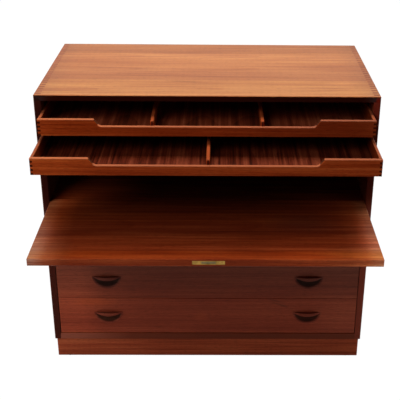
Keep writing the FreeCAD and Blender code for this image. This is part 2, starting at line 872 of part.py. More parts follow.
def make_drawer_side(side_z):
    """The drawer's right side, with half-blind fingers, the bottom's groove and the runner's groove."""
    board = block(
        drawer_half - drawer_side_thickness, drawer_half,
        drawer_face_y + drawer_blind_cover, drawer_end_y,
        side_z, side_z + drawer_side_height,
    )
    groove = block(
        drawer_half - drawer_groove_depth, drawer_half,
        drawer_face_y + drawer_front_thickness + drawer_groove_stop, drawer_end_y,
        side_z + drawer_groove_rise,
        side_z + drawer_groove_rise + drawer_runner_height + 2 * slide_clearance,
    )
    return board.cut(drawer_fingers(side_z, 0) + [groove, make_drawer_bottom(side_z)])


def make_drawer_back(side_z):
    """The drawer's back, standing on the bottom between the sides."""
    reach = drawer_half - drawer_side_thickness
    floor_z = side_z + drawer_bottom_rise + drawer_bottom_thickness
    top_z = side_z + drawer_side_height - drawer_back_drop
    return block(-reach, reach, drawer_end_y - drawer_back_thickness, drawer_end_y, floor_z, top_z)


def make_drawer_runners(side_z):
    """The two wooden runners that a drawer's grooves slide on."""
    bottom_z = side_z + drawer_groove_rise + slide_clearance
    inner_x = drawer_half - drawer_groove_depth + slide_clearance
    runner = block(
        inner_x, inner_half, front_y + drawer_runner_start, back_inner_y - runner_end_gap,
        bottom_z, bottom_z + drawer_runner_height,
    )
    upright = edges_along(runner, (0, 0, 1), lambda p: near(p.x, inner_x))
    return both_ends([runner.makeChamfer(drawer_groove_depth / 2, upright)])


def save_drawer(name, index):
    """Makes one drawer, closed, and its runners."""
    drawer_z = inner_bottom_z + drawer_bottom_gap + index * drawer_pitch
    side_z = drawer_z + drawer_side_rise
    side = make_drawer_side(side_z)
    save(name + "_drawer_front", make_drawer_front(drawer_z, side_z))
    save(name + "_drawer_right_side", side)
    save(name + "_drawer_left_side", other_side(side))
    save(name + "_drawer_back", make_drawer_back(side_z))
    save(name + "_drawer_bottom", make_drawer_bottom(side_z))
    save(name + "_drawer_pulls", *[make_pull(x, drawer_z) for x in pull_places()])
    save(name + "_drawer_runners", *make_drawer_runners(side_z))


# The whole cabinet, one file for each sub-part

os.makedirs("parts", exist_ok=True)

shell = carcass_shell()
right_side = make_side_panel(shell)
save("top_panel", make_top_panel(shell))
save("bottom_panel", make_bottom_panel(shell))
save("right_side_panel", right_side)
save("left_side_panel", other_side(right_side))
save("back_panel", make_back_panel())
save("compartment_floor", make_compartment_floor())
save("flap_rail", make_flap_rail())

plinth_names = ("plinth_front_board", "plinth_right_board", "plinth_back_board", "plinth_left_board")
for plinth_name, plinth_board in zip(plinth_names, make_plinth_boards()):
    save(plinth_name, plinth_board)
save("plinth_corner_blocks", *make_plinth_blocks())
save("floor_glides", *[glide(x, y) for x, y in glide_places()])

save("flap_panel", make_flap_panel())
save("flap_hinge_plates", *both_ends([make_hinge_plate()]))
save("flap_hinge_leaves", *both_ends([make_hinge_leaf()]))
save("lock_plate", make_lock_plate())
save("lock_case", make_lock_case())
save("lock_bolt", make_lock_bolt())
save("keyhole_escutcheon", make_escutcheon())
save("lock_strike", make_lock_strike())

save_tray("upper", upper_tray_z, upper_tray_out, upper_tray_dividers, 0.0)
save_tray("lower", lower_tray_z, lower_tray_out, lower_tray_dividers, lower_divider_shift)

for drawer_index, drawer_name in enumerate(("lower", "middle", "upper")[:drawer_count]):
    save_drawer(drawer_name, drawer_index)
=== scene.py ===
# The looks of a drop-front drawer cabinet in oiled teak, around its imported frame. Lengths are in metres.
import bmesh
import bpy
import math
from mathutils import Matrix, Vector


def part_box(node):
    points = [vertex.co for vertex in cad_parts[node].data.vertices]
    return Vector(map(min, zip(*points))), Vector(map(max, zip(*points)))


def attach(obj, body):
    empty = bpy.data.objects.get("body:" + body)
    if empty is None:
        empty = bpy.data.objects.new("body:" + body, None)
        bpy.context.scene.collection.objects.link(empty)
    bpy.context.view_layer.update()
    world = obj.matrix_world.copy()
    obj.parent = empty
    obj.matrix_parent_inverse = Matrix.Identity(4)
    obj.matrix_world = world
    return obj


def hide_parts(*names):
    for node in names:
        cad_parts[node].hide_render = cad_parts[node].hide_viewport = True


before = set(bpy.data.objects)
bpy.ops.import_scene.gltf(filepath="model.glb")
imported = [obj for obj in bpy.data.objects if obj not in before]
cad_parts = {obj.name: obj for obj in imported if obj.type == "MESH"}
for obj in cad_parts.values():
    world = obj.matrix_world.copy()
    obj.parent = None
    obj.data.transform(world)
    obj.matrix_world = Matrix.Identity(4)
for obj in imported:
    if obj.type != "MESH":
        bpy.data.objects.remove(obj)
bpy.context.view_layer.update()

MM = 0.001

# Places that the frame gives
front_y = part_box("right_side_panel")[0].y
back_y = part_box("back_panel")[1].y
half_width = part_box("top_panel")[1].x
left_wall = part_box("left_side_panel")[1].x
right_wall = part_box("right_side_panel")[0].x
flap_low, flap_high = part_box("flap_panel")
drawer_face_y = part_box("lower_drawer_front")[0].y

# Camera, solved on the photograph's edges
picture_pixels = 400
focal_pixels = 821.8
centre_column = 229.94
centre_row = 149.64
camera_right = 36.2 * MM
camera_from_front = 2221.9 * MM
camera_height = 1722.3 * MM
camera_yaw = 0.762
camera_pitch = 23.647
camera_roll = 0.579

# Lamps: an azimuth counts to the left of straight in front, and an elevation up from level, in degrees
ceiling_height = 3.0
ceiling_behind_front = 0.96
ceiling_size = (2.4, 1.2)
ceiling_power = 100.0
side_distance = 3.0
left_azimuth = 50.0
left_elevation = 42.0
left_size = 1.6
left_power = 31.0
right_azimuth = -75.0
right_elevation = 40.0
right_size = 1.4
right_power = 3.3
ambient_strength = 0.008
white_strength = 1.045

# Floor
floor_reach = 30.0
floor_own_white = 0.96
floor_grey = 0.8

# Oiled wood: growth lines per metre, their slant along the grain, how much they gather towards a year's
# end, how far they wander, how deep the log's middle lies under a board, how wide a stretch of log is
# before it repeats mirrored, where its middle lies in that stretch, and how far apart in the log the glued
# boards of one panel are cut
growth_lines = 150.0
growth_slant = 0.018
growth_gather = 2.2
wander_width = 26 * MM
heart_depth = 55 * MM
log_fold = 0.19
log_middle = 0.07
next_board_along = 1.37
next_board_across = 0.431

# Blotches per metre along, across and through the grain, and the streaks' detail and roughness
wander_blotches = (1.4, 3.2, 3.2)
streak_blotches = (2.2, 95.0, 95.0)
band_blotches = (0.8, 14.0, 14.0)
cloud_blotches = (3.0, 6.0, 6.0)
pore_blotches = (60.0, 1300.0, 1300.0)
streak_detail = (5.0, 0.62)

# How much streaks, bands, clouds and growth lines add to the tone, how far a glued panel's front board is
# lifted and all its boards are dropped, and where the three colours and the pores lie
streak_contrast = 1.7
band_contrast = 0.6
cloud_contrast = 0.35
growth_contrast = -0.3
growth_middle = 0.31
front_board_lift = (0.16, 0.05)
tone_stops = (0.18, 0.5, 0.86)
pore_stops = ((0.36, (0.66, 0.66, 0.66)), (0.44, (1.0, 1.0, 1.0)))

# Oil, the relief of streaks and pores, how squarely a face has to look one way to count as a rim, a wall,
# an edge or an end, how far a rim takes its tone and painted light, and how far the grain pales on a
# front edge
oil_sheen = 0.05
gloss_swing = 0.16
pore_relief = 0.5
relief_strength = 0.12
relief_depth = 0.6 * MM
faces_up = 0.5
faces_sideways = 0.8
faces_grain = 0.75
rim_share = 0.75
edge_pallor = 0.5

# Tones of the wood, dark, middle and light
top_tones = ((0.270, 0.077, 0.023), (0.352, 0.119, 0.037), (0.446, 0.176, 0.058))
side_tones = ((0.20, 0.032, 0.009), (0.31, 0.055, 0.016), (0.42, 0.092, 0.030))
flap_tones = ((0.135, 0.016, 0.004), (0.218, 0.031, 0.007), (0.325, 0.063, 0.016))
front_tones = ((0.17, 0.024, 0.010), (0.27, 0.043, 0.017), (0.38, 0.074, 0.029))
tray_tones = ((0.28, 0.031, 0.005), (0.42, 0.057, 0.010), (0.55, 0.105, 0.021))
lining_tones = ((0.030, 0.005, 0.002), (0.09, 0.014, 0.005), (0.18, 0.040, 0.016))
# The back's dark tones are painted shade inside the cabinet; its outer face is lifted by a gain of its own.
inside_tones = ((0.05, 0.008, 0.003), (0.10, 0.017, 0.006), (0.16, 0.033, 0.012))
# The plinth's tones are lighter than the other teak's, partly as painted light.
plinth_tones = ((0.340, 0.058, 0.022), (0.530, 0.095, 0.036), (0.700, 0.160, 0.060))
box_tones = ((0.42, 0.235, 0.115), (0.56, 0.335, 0.175), (0.68, 0.44, 0.25))

# A gain multiplies red, green and blue. A reach says at which two depths behind a face a gain starts and
# is full, and places say the same along the cabinet's width. A patch is a soft oval of another tone: its
# axes, middle, half length and half width, lean, and gain. Its core is the inner share with the full gain.
patch_core = 0.25

# Top: its three boards meet at two depths behind the front, and a lipping runs along its front edge
top_joint_depths = (140 * MM, 412 * MM)
joint_blur = 0.4 * MM
top_heart = -0.81
top_lipping = 19 * MM
lipping_gain = (1.12, 1.15, 1.15)
top_end_reach = (75 * MM, 15 * MM)
top_end_gain = (0.87, 0.87, 0.9)
top_back_gain = (0.83, 0.81, 0.80)
top_middle_reach = (270 * MM, 190 * MM)
top_middle_gain = (0.91, 0.89, 0.94)
top_front_gain = (1.095, 1.13, 0.97)
top_arris_reach = (7 * MM, 4 * MM)
top_arris_gain = (1.0, 0.82, 0.80)
# The top's front edge is darkened partly for its own darker tone and partly as painted shade, and painted
# light brightens it near its right end.
top_edge_tone = (0.050, 0.010, 0.005)
top_edge_end_reach = (16 * MM, 9 * MM)
top_edge_end_gain = (6.0, 2.7, 1.2)
top_patches = (
    ((0, 1), (-0.075, front_y + 128 * MM), (0.075, 0.010), -0.10, (0.78, 0.74, 0.76)),
    ((0, 1), (0.02, front_y + 105 * MM), (0.09, 0.006), -0.05, (0.86, 0.83, 0.85)),
    ((0, 1), (-0.21, front_y + 245 * MM), (0.055, 0.018), 0.0, (0.88, 0.86, 0.88)),
    ((0, 1), (0.405, front_y + 120 * MM), (0.07, 0.035), 0.2, (1.08, 1.10, 1.16)),
)

# Sides: outer skin, inner skin darkened as painted shade, the fingers' ends, and the front edges, partly
# their own darker tone and partly painted shade, with the heights where painted light along them changes
side_skin_reach = (0.6 * MM, 0.1 * MM)
side_outer_gain = (1.32, 1.72, 1.8)
# Both inner walls are darkened as painted shade.
left_inner_gain = (0.28, 0.42, 0.55)
right_inner_gain = (0.6, 0.65, 0.7)
left_finger_gain = (0.70, 0.98, 1.45)
right_finger_gain = (0.62, 0.84, 1.0)
# The front edges are partly a darker tone of their own and partly painted shade.
left_edge_tone = (0.086, 0.018, 0.012)
right_edge_tone = (0.180, 0.034, 0.018)
edge_low_heights = (0.60, 0.50)
edge_high_heights = (0.80, 0.86)
# Painted light that brightens the front edges below the flap, and the right edge high up.
left_edge_changes = ((edge_low_heights, (1.56, 1.46, 1.05)),)
right_edge_changes = (
    (edge_low_heights, (2.7, 3.4, 3.5)),
    (edge_high_heights, (1.75, 1.45, 1.35)),
)

# Bottom, with its front edge and a painted sheen at its left end, and back, whose inside takes dark tones
# as painted shade, with its outer face
bottom_edge_tone = (0.360, 0.095, 0.046)
# A painted sheen, paler and greyer, over the bottom's left end.
bottom_left_places = (-0.25, -0.43)
bottom_left_gain = (1.75, 2.2, 2.7)
back_skin_reach = (1.5 * MM, 0.5 * MM)
back_outer_gain = (1.7, 2.3, 2.5)
back_heart = -0.75

# Flap: a painted sheen at its ends, painted light on its right part, its front edge with a painted sheen,
# bands of painted shade and light behind that edge, patches of painted shade and sheen, and its outer face
# A painted sheen at the flap's ends, strongest at the very tips.
flap_end_reach = (95 * MM, 25 * MM)
flap_left_gain = (1.9, 2.1, 2.1)
flap_right_gain = (1.62, 2.0, 2.3)
flap_tip_reach = (45 * MM, 8 * MM)
flap_tip_gain = (1.05, 1.62, 2.4)
# Painted light over the flap's right part.
flap_right_part_places = (0.14, 0.42)
flap_right_part_gain = (1.5, 1.5, 1.5)
# Bands of painted shade and light behind the flap's front edge, where the trays' shadow ends; the first is a
# painted sheen on that edge.
flap_bands = (
    ((1.5 * MM, 0.5 * MM), (1.42, 1.58, 3.0)),
    ((208 * MM, 184 * MM), (0.82, 0.76, 0.88)),
    ((141 * MM, 103 * MM), (1.76, 1.80, 1.65)),
    ((64 * MM, 48 * MM), (0.74, 0.75, 0.66)),
    ((54 * MM, 34 * MM), (0.97, 0.82, 0.45)),
)
# Patches of painted shade at the flap's back and of painted sheen at its front corners.
flap_patches = (
    ((0, 1), (flap_low.x + 45 * MM, flap_low.y + 250 * MM), (0.13, 0.09), 0.0, (0.74, 0.68, 0.66)),
    ((0, 1), (0.285, flap_low.y + 205 * MM), (0.14, 0.075), 0.0, (0.66, 0.76, 1.1)),
    ((0, 1), (flap_low.x + 10 * MM, flap_low.y + 35 * MM), (0.11, 0.15), 0.0, (0.93, 1.45, 2.1)),
    ((0, 1), (flap_low.x + 10 * MM, flap_low.y + 25 * MM), (0.10, 0.035), 0.0, (1.0, 1.08, 1.8)),
    ((0, 1), (flap_high.x - 70 * MM, flap_low.y + 25 * MM), (0.12, 0.06), 0.0, (0.98, 1.35, 1.65)),
)
flap_outer_gain = (1.35, 1.85, 2.9)

# Trays: painted light on the left parts and painted shade on the right parts of their fronts, a painted
# sheen on their rims, and for each tray its part of the log, name, lining gain, painted shade on its front's
# right part, and lining contrast
# Painted light over the left parts of the tray fronts and painted shade over their right parts.
tray_left_places = (-0.10, -0.46)
tray_left_gain = (1.3, 1.35, 1.2)
tray_right_places = (0.08, 0.30)
tray_right_gain = (0.8, 0.82, 0.95)
tray_sheen = 0.02
# A painted sheen, paler than the fronts, on the trays' upward rims.
tray_rim = (0.31, 0.100, 0.046)
tray_side_rim = (0.24, 0.074, 0.032)
divider_rim = (0.25, 0.052, 0.015)
# The dividers' front ends are darkened as painted shade.
divider_nose = (0.16, 0.030, 0.015)
tray_looks = (
    (0.7, "upper_tray", (2.1, 2.3, 2.4), tray_right_gain, 1.3),
    (2.3, "lower_tray", (0.86, 0.76, 0.74), (1.0, 1.0, 1.0), 2.3),
)

# Drawers: painted light at their ends and towards their feet, a step at their feet, pulls with painted shade
# on their tops and in the hollows behind them, and for each drawer its part of the log, name, gain, partly
# painted light and shade, painted light towards its foot, gain at its foot, and patches
# Painted light over the drawer fronts' left and right ends.
drawer_left_places = (-0.335, -0.40)
drawer_left_gain = (1.3, 1.3, 1.25)
drawer_right_places = (0.33, 0.42)
drawer_right_gain = (1.12, 1.25, 1.3)
# Painted light that brightens a drawer front towards its foot, below the open flap.
drawer_low_reach = (105 * MM, 0.0)
drawer_low_gain = (1.5, 1.3, 1.15)
drawer_foot_reach = (38 * MM, 32 * MM)
drawer_foot_gain = (1.09, 1.07, 1.06)
pull_gain = (0.85, 1.0, 1.3)
# The pulls' upward faces are darkened as painted shade under the open flap.
pull_rim_tone = (0.08, 0.020, 0.010)
# Painted shade in the pulls' hollows behind the drawer's face.
hollow_depths = (-0.5 * MM, 1.5 * MM)
hollow_gain = (0.22, 0.32, 0.32)
middle_drawer_patches = (
    ((0, 2), (0.0, 0.2705), (1.3, 0.006), 0.0, (0.93, 0.94, 0.97)),
)
lower_drawer_patches = (
    ((0, 2), (-0.362, 0.211), (0.085, 0.022), 0.0, (1.24, 1.22, 0.98)),
    ((0, 2), (-0.023, 0.154), (0.030, 0.024), 0.0, (1.22, 1.26, 1.15)),
    ((0, 2), (0.215, 0.2165), (0.038, 0.0045), -0.27, (0.62, 0.72, 0.80)),
    ((0, 2), (0.225, 0.2040), (0.040, 0.0050), -0.34, (0.68, 0.76, 0.82)),
    ((0, 2), (0.245, 0.1970), (0.018, 0.0060), -0.2, (0.78, 0.84, 0.88)),
    ((0, 2), (0.33, 0.2190), (0.12, 0.0016), 0.0, (0.86, 0.9, 0.9)),
    ((0, 2), (0.35, 0.2100), (0.11, 0.0016), 0.02, (0.88, 0.9, 0.9)),
)
# The middle and upper fronts' gains darken them partly as painted shade of the open flap, and the lower
# front's gain lightens it partly as painted light.
drawer_looks = (
    (0.4, "lower_drawer", (1.42, 1.52, 1.6), (1.05, 1.0, 1.0), (1.0, 1.0, 1.0), lower_drawer_patches),
    (1.9, "middle_drawer", (0.74, 0.98, 1.22), drawer_low_gain, drawer_foot_gain, middle_drawer_patches),
    (3.7, "upper_drawer", (0.80, 0.98, 1.15), drawer_low_gain, drawer_foot_gain, ()),
)

# Metal and plastic
brass_colour = (0.33, 0.19, 0.045)
steel_colour = (0.36, 0.36, 0.35)
bolt_colour = (0.17, 0.13, 0.06)
tarnish_blotches = (60.0, 60.0, 60.0)
tarnish_detail = (4.0, 0.6)
tarnish_places = (0.35, 0.6)
scratch_blotches = (150.0, 900.0, 900.0)
scratch_gloss = (0.25, 0.12)
scratch_strength = 0.1
scratch_depth = 0.2 * MM
glide_blotches = (400.0, 400.0, 400.0)
glide_stops = ((0.3, (0.05, 0.045, 0.04)), (0.7, (0.09, 0.08, 0.07)))

# Small fittings. How far a screw stands proud and half its slot's width are shares of its radius, the
# slot's depth is a share of how far it stands proud, and turns are in radians.
plate_inset = 0.3 * MM
plate_edge = 0.4 * MM
bolt_slot = (38.6 * MM, 6.6 * MM)
screw_segments = 28
screw_proud_share = 0.09
screw_slot_share = 0.13
screw_slot_depth = 1.5
plate_screw_radius = 3.2 * MM
plate_screw_from_end = 7.5 * MM
plate_screw_turns = (0.5, 1.9)
strike_screw_radius = 2.4 * MM
strike_screw_from_end = 6 * MM
strike_screw_turns = (0.2, 2.3)
back_screw_radius = 3.8 * MM
back_screw_from_edge = 4.5 * MM
back_screw_turn = 0.7
back_screws_across = 6
back_screws_up = 4
pin_radius = 1.3 * MM
pin_height_share = 0.45
pin_from_end = 3.5 * MM

# How squarely a face has to look one way to be cut out, how sharp an edge has to be to be softened, in
# radians, and how near two places count as one
squarely = 0.9
sharp_angle = 1.0
same_place = 0.01 * MM


def node(tree, kind, links=None, **settings):
    """Adds a shader node. A link is a socket to join, or a value for the input."""
    made = tree.nodes.new(kind)
    for name, value in settings.items():
        setattr(made, name, value)
    for place, source in (links or {}).items():
        if isinstance(source, bpy.types.NodeSocket):
            tree.links.new(source, made.inputs[place])
        else:
            made.inputs[place].default_value = source
    return made


def sums(tree, operation, first, second=0.0, third=0.0):
    """The result of a Math node."""
    made = node(tree, "ShaderNodeMath", {0: first, 1: second, 2: third}, operation=operation)
    return made.outputs[0]


def from_to(tree, value, start, full):
    """0 where a value is at its start, 1 where it is full, and evenly between them."""
    return node(tree, "ShaderNodeMapRange", {0: value, 1: start, 2: full, 3: 0.0, 4: 1.0}).outputs[0]


def noise(tree, place, blotches, detail=2.0, roughness=0.5):
    """Noise on a place, stretched by the number of blotches per metre each way."""
    stretched = node(tree, "ShaderNodeVectorMath", {0: place, 1: blotches}, operation="MULTIPLY")
    links = {"Vector": stretched.outputs[0], "Scale": 1.0, "Detail": detail, "Roughness": roughness}
    return node(tree, "ShaderNodeTexNoise", links).outputs["Fac"]


def ramp(tree, value, stops):
    """A colour ramp with its stops as (place, colour)."""
    made = node(tree, "ShaderNodeValToRGB", {"Fac": value})
    elements = made.color_ramp.elements
    while len(elements) > len(stops):
        elements.remove(elements[-1])
    while len(elements) < len(stops):
        elements.new(1.0)
    for element, (place, colour) in zip(elements, stops):
        element.position = place
        element.color = (*colour, 1.0)
    return made.outputs["Color"]


def blended(tree, share, first, second, kind="MIX"):
    """Two colours mixed by a share, where each may be a socket or a colour."""
    links = {"Factor": share, 6: first, 7: second}
    return node(tree, "ShaderNodeMix", links, data_type="RGBA", blend_type=kind).outputs[2]


def gained(tree, where, colour, gain):
    """A colour multiplied by a gain where a mask is 1. One number is a gain for all three channels."""
    factors = gain if isinstance(gain, tuple) else (gain, gain, gain)
    return blended(tree, where, colour, blended(tree, 1.0, colour, (*factors, 1.0), "MULTIPLY"))


def faded(tree, place, colour, fades):
    """A colour with slow changes over a board. Each fade is an axis, where it starts, where it is full,
    and its gain."""
    for axis, start, full, gain in fades:
        colour = gained(tree, from_to(tree, place[axis], start, full), colour, gain)
    return colour


def behind(face, looks, axis, depths, gain):
    """A fade between two depths behind a face. The face looks along an axis, towards its -1 or 1 end."""
    start, full = (face - looks * depth for depth in depths)
    return axis, start, full, gain


def patched(tree, place, colour, patches):
    """A colour with soft ovals of another tone."""
    for (first, second), (x, y), (half_long, half_wide), lean, gain in patches:
        along = sums(tree, "SUBTRACT", place[first], x)
        across = sums(tree, "MULTIPLY_ADD", along, -lean, sums(tree, "SUBTRACT", place[second], y))
        shares = {0: sums(tree, "DIVIDE", along, half_long), 1: sums(tree, "DIVIDE", across, half_wide)}
        oval = node(tree, "ShaderNodeCombineXYZ", shares).outputs[0]
        away = node(tree, "ShaderNodeVectorMath", {0: oval}, operation="LENGTH").outputs["Value"]
        colour = gained(tree, from_to(tree, away, 1.0, patch_core), colour, gain)
    return colour


def scaled(tones, gain):
    """Tones with red, green and blue multiplied."""
    return tuple(tuple(c * g for c, g in zip(tone, gain)) for tone in tones)


def grey(value):
    """A grey of one value."""
    return (value, value, value, 1.0)


def blank(name):
    """A new material with its shader."""
    material = bpy.data.materials.new(name)
    material.use_nodes = True
    tree = material.node_tree
    return material, tree, tree.nodes["Principled BSDF"]


# The axes along, across and through the grain
GRAINS = {"X": (0, 1, 2), "Y": (1, 0, 2), "Z": (2, 0, 1)}


def in_the_log(tree, object_place, raw, grain, shift, joints):
    """Where a point lies along, across and through the grain of its log, and which glued board it is on."""
    moved = node(tree, "ShaderNodeVectorMath", {0: object_place, 1: shift}, operation="ADD").outputs[0]
    split = node(tree, "ShaderNodeSeparateXYZ", {0: moved}).outputs
    along, across, through = (split[axis] for axis in GRAINS[grain])
    board = 0.0
    for joint in joints:
        board = sums(tree, "ADD", sums(tree, "GREATER_THAN", raw[GRAINS[grain][1]], joint), board)
    if joints:
        across = sums(tree, "MULTIPLY_ADD", board, next_board_across, across)
        along = sums(tree, "MULTIPLY_ADD", board, next_board_along, along)
    return (along, across, through), board


def growth_rings(tree, place, directions, heart):
    """The log's growth lines, as a value that rises over each year's growth."""
    along, across, through = directions
    wander = noise(tree, place, wander_blotches, detail=3.0)
    wander = sums(tree, "MULTIPLY", sums(tree, "SUBTRACT", wander, 0.5), 2 * wander_width)
    side = sums(tree, "ADD", across, wander)
    folded = sums(tree, "SUBTRACT", sums(tree, "PINGPONG", side, log_fold), log_middle)
    spoke = node(tree, "ShaderNodeCombineXYZ", {1: folded, 2: sums(tree, "ADD", through, heart)}).outputs[0]
    ring = node(tree, "ShaderNodeVectorMath", {0: spoke}, operation="LENGTH").outputs["Value"]
    ring = sums(tree, "MULTIPLY_ADD", along, growth_slant, ring)
    ring = sums(tree, "MULTIPLY", ring, growth_lines)
    return sums(tree, "POWER", sums(tree, "FRACT", ring), growth_gather)


def wood_tone(tree, place, ring, streak, figure, contrast):
    """How light the wood is, from its streaks, bands, clouds and growth lines."""
    tone = 0.5
    for value, middle, weight in (
        (streak, 0.5, contrast),
        (noise(tree, place, band_blotches), 0.5, band_contrast),
        (noise(tree, place, cloud_blotches), 0.5, cloud_contrast),
        (ring, growth_middle, growth_contrast * figure),
    ):
        tone = sums(tree, "MULTIPLY_ADD", sums(tree, "SUBTRACT", value, middle), weight, tone)
    return tone


def worn_faces(
    tree, colour, raw, facing, rim_tone=None, lipping_y=None, wall_share=1.0, edge_tone=None, edge_fades=(),
    hollow_y=None,
):
    """Tones for upward faces, which take a painted sheen on the trays' rims and painted shade on the pulls,
    a lipping, side walls darkened as painted shade, the edge that faces the front, darkened partly for its
    own tone and partly as painted shade with painted light along it, and painted shade in the hollow of a
    pull behind the drawer's face."""
    if rim_tone:
        up = sums(tree, "GREATER_THAN", facing[2], faces_up)
        colour = blended(tree, sums(tree, "MULTIPLY", up, rim_share), colour, (*rim_tone, 1.0))
    if lipping_y is not None:
        colour = gained(tree, sums(tree, "LESS_THAN", raw[1], lipping_y), colour, lipping_gain)
    if wall_share < 1.0:
        wall = sums(tree, "GREATER_THAN", sums(tree, "ABSOLUTE", facing[0]), faces_sideways)
        colour = gained(tree, wall, colour, wall_share)
    if edge_tone:
        pale = blended(tree, edge_pallor, colour, grey(1.0))
        edge = blended(tree, 1.0, pale, (*edge_tone, 1.0), "MULTIPLY")
        edge = faded(tree, raw, edge, edge_fades)
        colour = blended(tree, sums(tree, "LESS_THAN", facing[1], -faces_sideways), colour, edge)
    if hollow_y is not None:
        sunk = from_to(tree, raw[1], *(hollow_y + depth for depth in hollow_depths))
        colour = gained(tree, sunk, colour, hollow_gain)
    return colour


def oil_gloss(tree, shader, streak, pores, rough, sheen):
    """The oil's gloss, duller in the streaks, and the relief of streaks and pores."""
    gloss = sums(tree, "MULTIPLY_ADD", streak, gloss_swing, rough - gloss_swing / 2)
    tree.links.new(gloss, shader.inputs["Roughness"])
    shader.inputs["Specular IOR Level"].default_value = sheen
    dips = node(tree, "ShaderNodeRGBToBW", {0: pores}).outputs[0]
    relief = sums(tree, "MULTIPLY_ADD", dips, pore_relief, streak)
    links = {"Strength": relief_strength, "Distance": relief_depth, "Height": relief}
    tree.links.new(node(tree, "ShaderNodeBump", links).outputs[0], shader.inputs["Normal"])


def oiled_wood(
    name, grain, tones, shift, joints=(), figure=0.5, rough=0.4, sheen=oil_sheen, contrast=streak_contrast,
    heart=heart_depth, fades=(), patches=(), under_gain=None, end_share=0.4, **faces,
):
    """Oiled wood whose grain runs along an axis, with dark, middle and light tones. The shift picks a part
    of the log, and joints are the places across the grain where glued boards meet. An underside has no
    fades or patches if it has a gain of its own, and the end share darkens end grain."""
    material, tree, shader = blank(name)
    coordinates = node(tree, "ShaderNodeTexCoord").outputs
    raw = node(tree, "ShaderNodeSeparateXYZ", {0: coordinates["Object"]}).outputs
    facing = node(tree, "ShaderNodeSeparateXYZ", {0: coordinates["Normal"]}).outputs
    directions, board = in_the_log(tree, coordinates["Object"], raw, grain, shift, joints)
    place = node(tree, "ShaderNodeCombineXYZ", dict(enumerate(directions))).outputs[0]

    ring = growth_rings(tree, place, directions, heart)
    streak = noise(tree, place, streak_blotches, *streak_detail)
    tone = wood_tone(tree, place, ring, streak, figure, contrast)
    if joints:
        lift, drop = front_board_lift
        in_front = sums(tree, "LESS_THAN", board, 0.5)
        tone = sums(tree, "MULTIPLY_ADD", in_front, lift, sums(tree, "SUBTRACT", tone, drop))
    colour = ramp(tree, tone, list(zip(tone_stops, tones)))
    pores = ramp(tree, noise(tree, place, pore_blotches, detail=1.0), pore_stops)
    colour = blended(tree, 1.0, colour, pores, "MULTIPLY")

    plain = worn_faces(tree, colour, raw, facing, **faces)
    colour = patched(tree, raw, faded(tree, raw, plain, fades), patches)
    if under_gain:
        under = blended(tree, 1.0, plain, (*under_gain, 1.0), "MULTIPLY")
        colour = blended(tree, sums(tree, "LESS_THAN", facing[2], -faces_up), colour, under)
    end = sums(tree, "GREATER_THAN", sums(tree, "ABSOLUTE", facing[GRAINS[grain][0]]), faces_grain)
    tree.links.new(gained(tree, end, colour, end_share), shader.inputs["Base Color"])
    oil_gloss(tree, shader, streak, pores, rough, sheen)
    return material


def finish_with(material, *names):
    """Gives a material to CAD nodes."""
    for name in names:
        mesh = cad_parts[name].data
        mesh.materials.clear()
        mesh.materials.append(material)


def dress_top():
    """The top in three glued boards, darker towards its ends and back, with a lipping along its front."""
    joints = [front_y + depth for depth in top_joint_depths]
    near, far = joints
    fades = [
        behind(half_width, 1, 0, top_end_reach, top_end_gain),
        behind(-half_width, -1, 0, top_end_reach, top_end_gain),
        (1, far - joint_blur, far + joint_blur, top_back_gain),
        behind(front_y, -1, 1, top_middle_reach, top_middle_gain),
        (1, near + joint_blur, near - joint_blur, top_front_gain),
        behind(front_y, -1, 1, top_arris_reach, top_arris_gain),
    ]
    teak = oiled_wood(
        "top_teak", "X", top_tones, (0.3, 0.11, 0.0), joints, figure=0.6, sheen=0.08, contrast=1.8,
        heart=top_heart, fades=fades, patches=top_patches, lipping_y=front_y + top_lipping,
        edge_tone=top_edge_tone,
        edge_fades=[behind(half_width, 1, 0, top_edge_end_reach, top_edge_end_gain)],
    )
    finish_with(teak, "top_panel")


def dress_side(name, looks, inner_x, shift, finger_gain, edge_tone, edge_changes, inner_gain):
    """A side panel that looks left or right, with a tone of its own on its outer skin, painted shade on its
    inner wall, and front edges that are partly a darker tone of their own and partly painted shade, with
    painted light along them.
    """
    fades = [
        behind(looks * half_width, looks, 0, side_skin_reach, side_outer_gain),
        behind(inner_x, -looks, 0, side_skin_reach, inner_gain),
    ]
    edge_fades = [(2, *heights, gain) for heights, gain in edge_changes]
    teak = oiled_wood(
        name + "_teak", "Z", side_tones, shift, fades=fades, end_share=finger_gain, edge_tone=edge_tone,
        edge_fades=edge_fades,
    )
    finish_with(teak, name + "_panel")


def dress_sides():
    """Both side panels, each cut from another part of the log."""
    dress_side(
        "right_side", 1, right_wall, (0.0, 0.2, 1.3), right_finger_gain, right_edge_tone, right_edge_changes,
        right_inner_gain,
    )
    dress_side(
        "left_side", -1, left_wall, (0.0, 0.37, 2.9), left_finger_gain, left_edge_tone, left_edge_changes,
        left_inner_gain,
    )


def dress_inside():
    """The bottom, with a painted sheen towards its left, the compartment's floor and rail, and the veneered
    back, whose dark inside tones are painted shade.
    """
    bottom = oiled_wood(
        "bottom_teak", "X", side_tones, (3.1, 0.3, 0.0), edge_tone=bottom_edge_tone,
        fades=[(0, *bottom_left_places, bottom_left_gain)],
    )
    finish_with(bottom, "bottom_panel")
    finish_with(oiled_wood("rail_teak", "X", front_tones, (5.2, 0.1, 0.0)), "flap_rail")
    finish_with(oiled_wood("floor_teak", "X", flap_tones, (7.2, 0.17, 0.0)), "compartment_floor")
    back = oiled_wood(
        "back_veneer", "Z", inside_tones, (2.0, 0.4, 0.0), figure=0.3, rough=0.55, heart=back_heart,
        fades=[behind(back_y, 1, 1, back_skin_reach, back_outer_gain)],
    )
    finish_with(back, "back_panel")


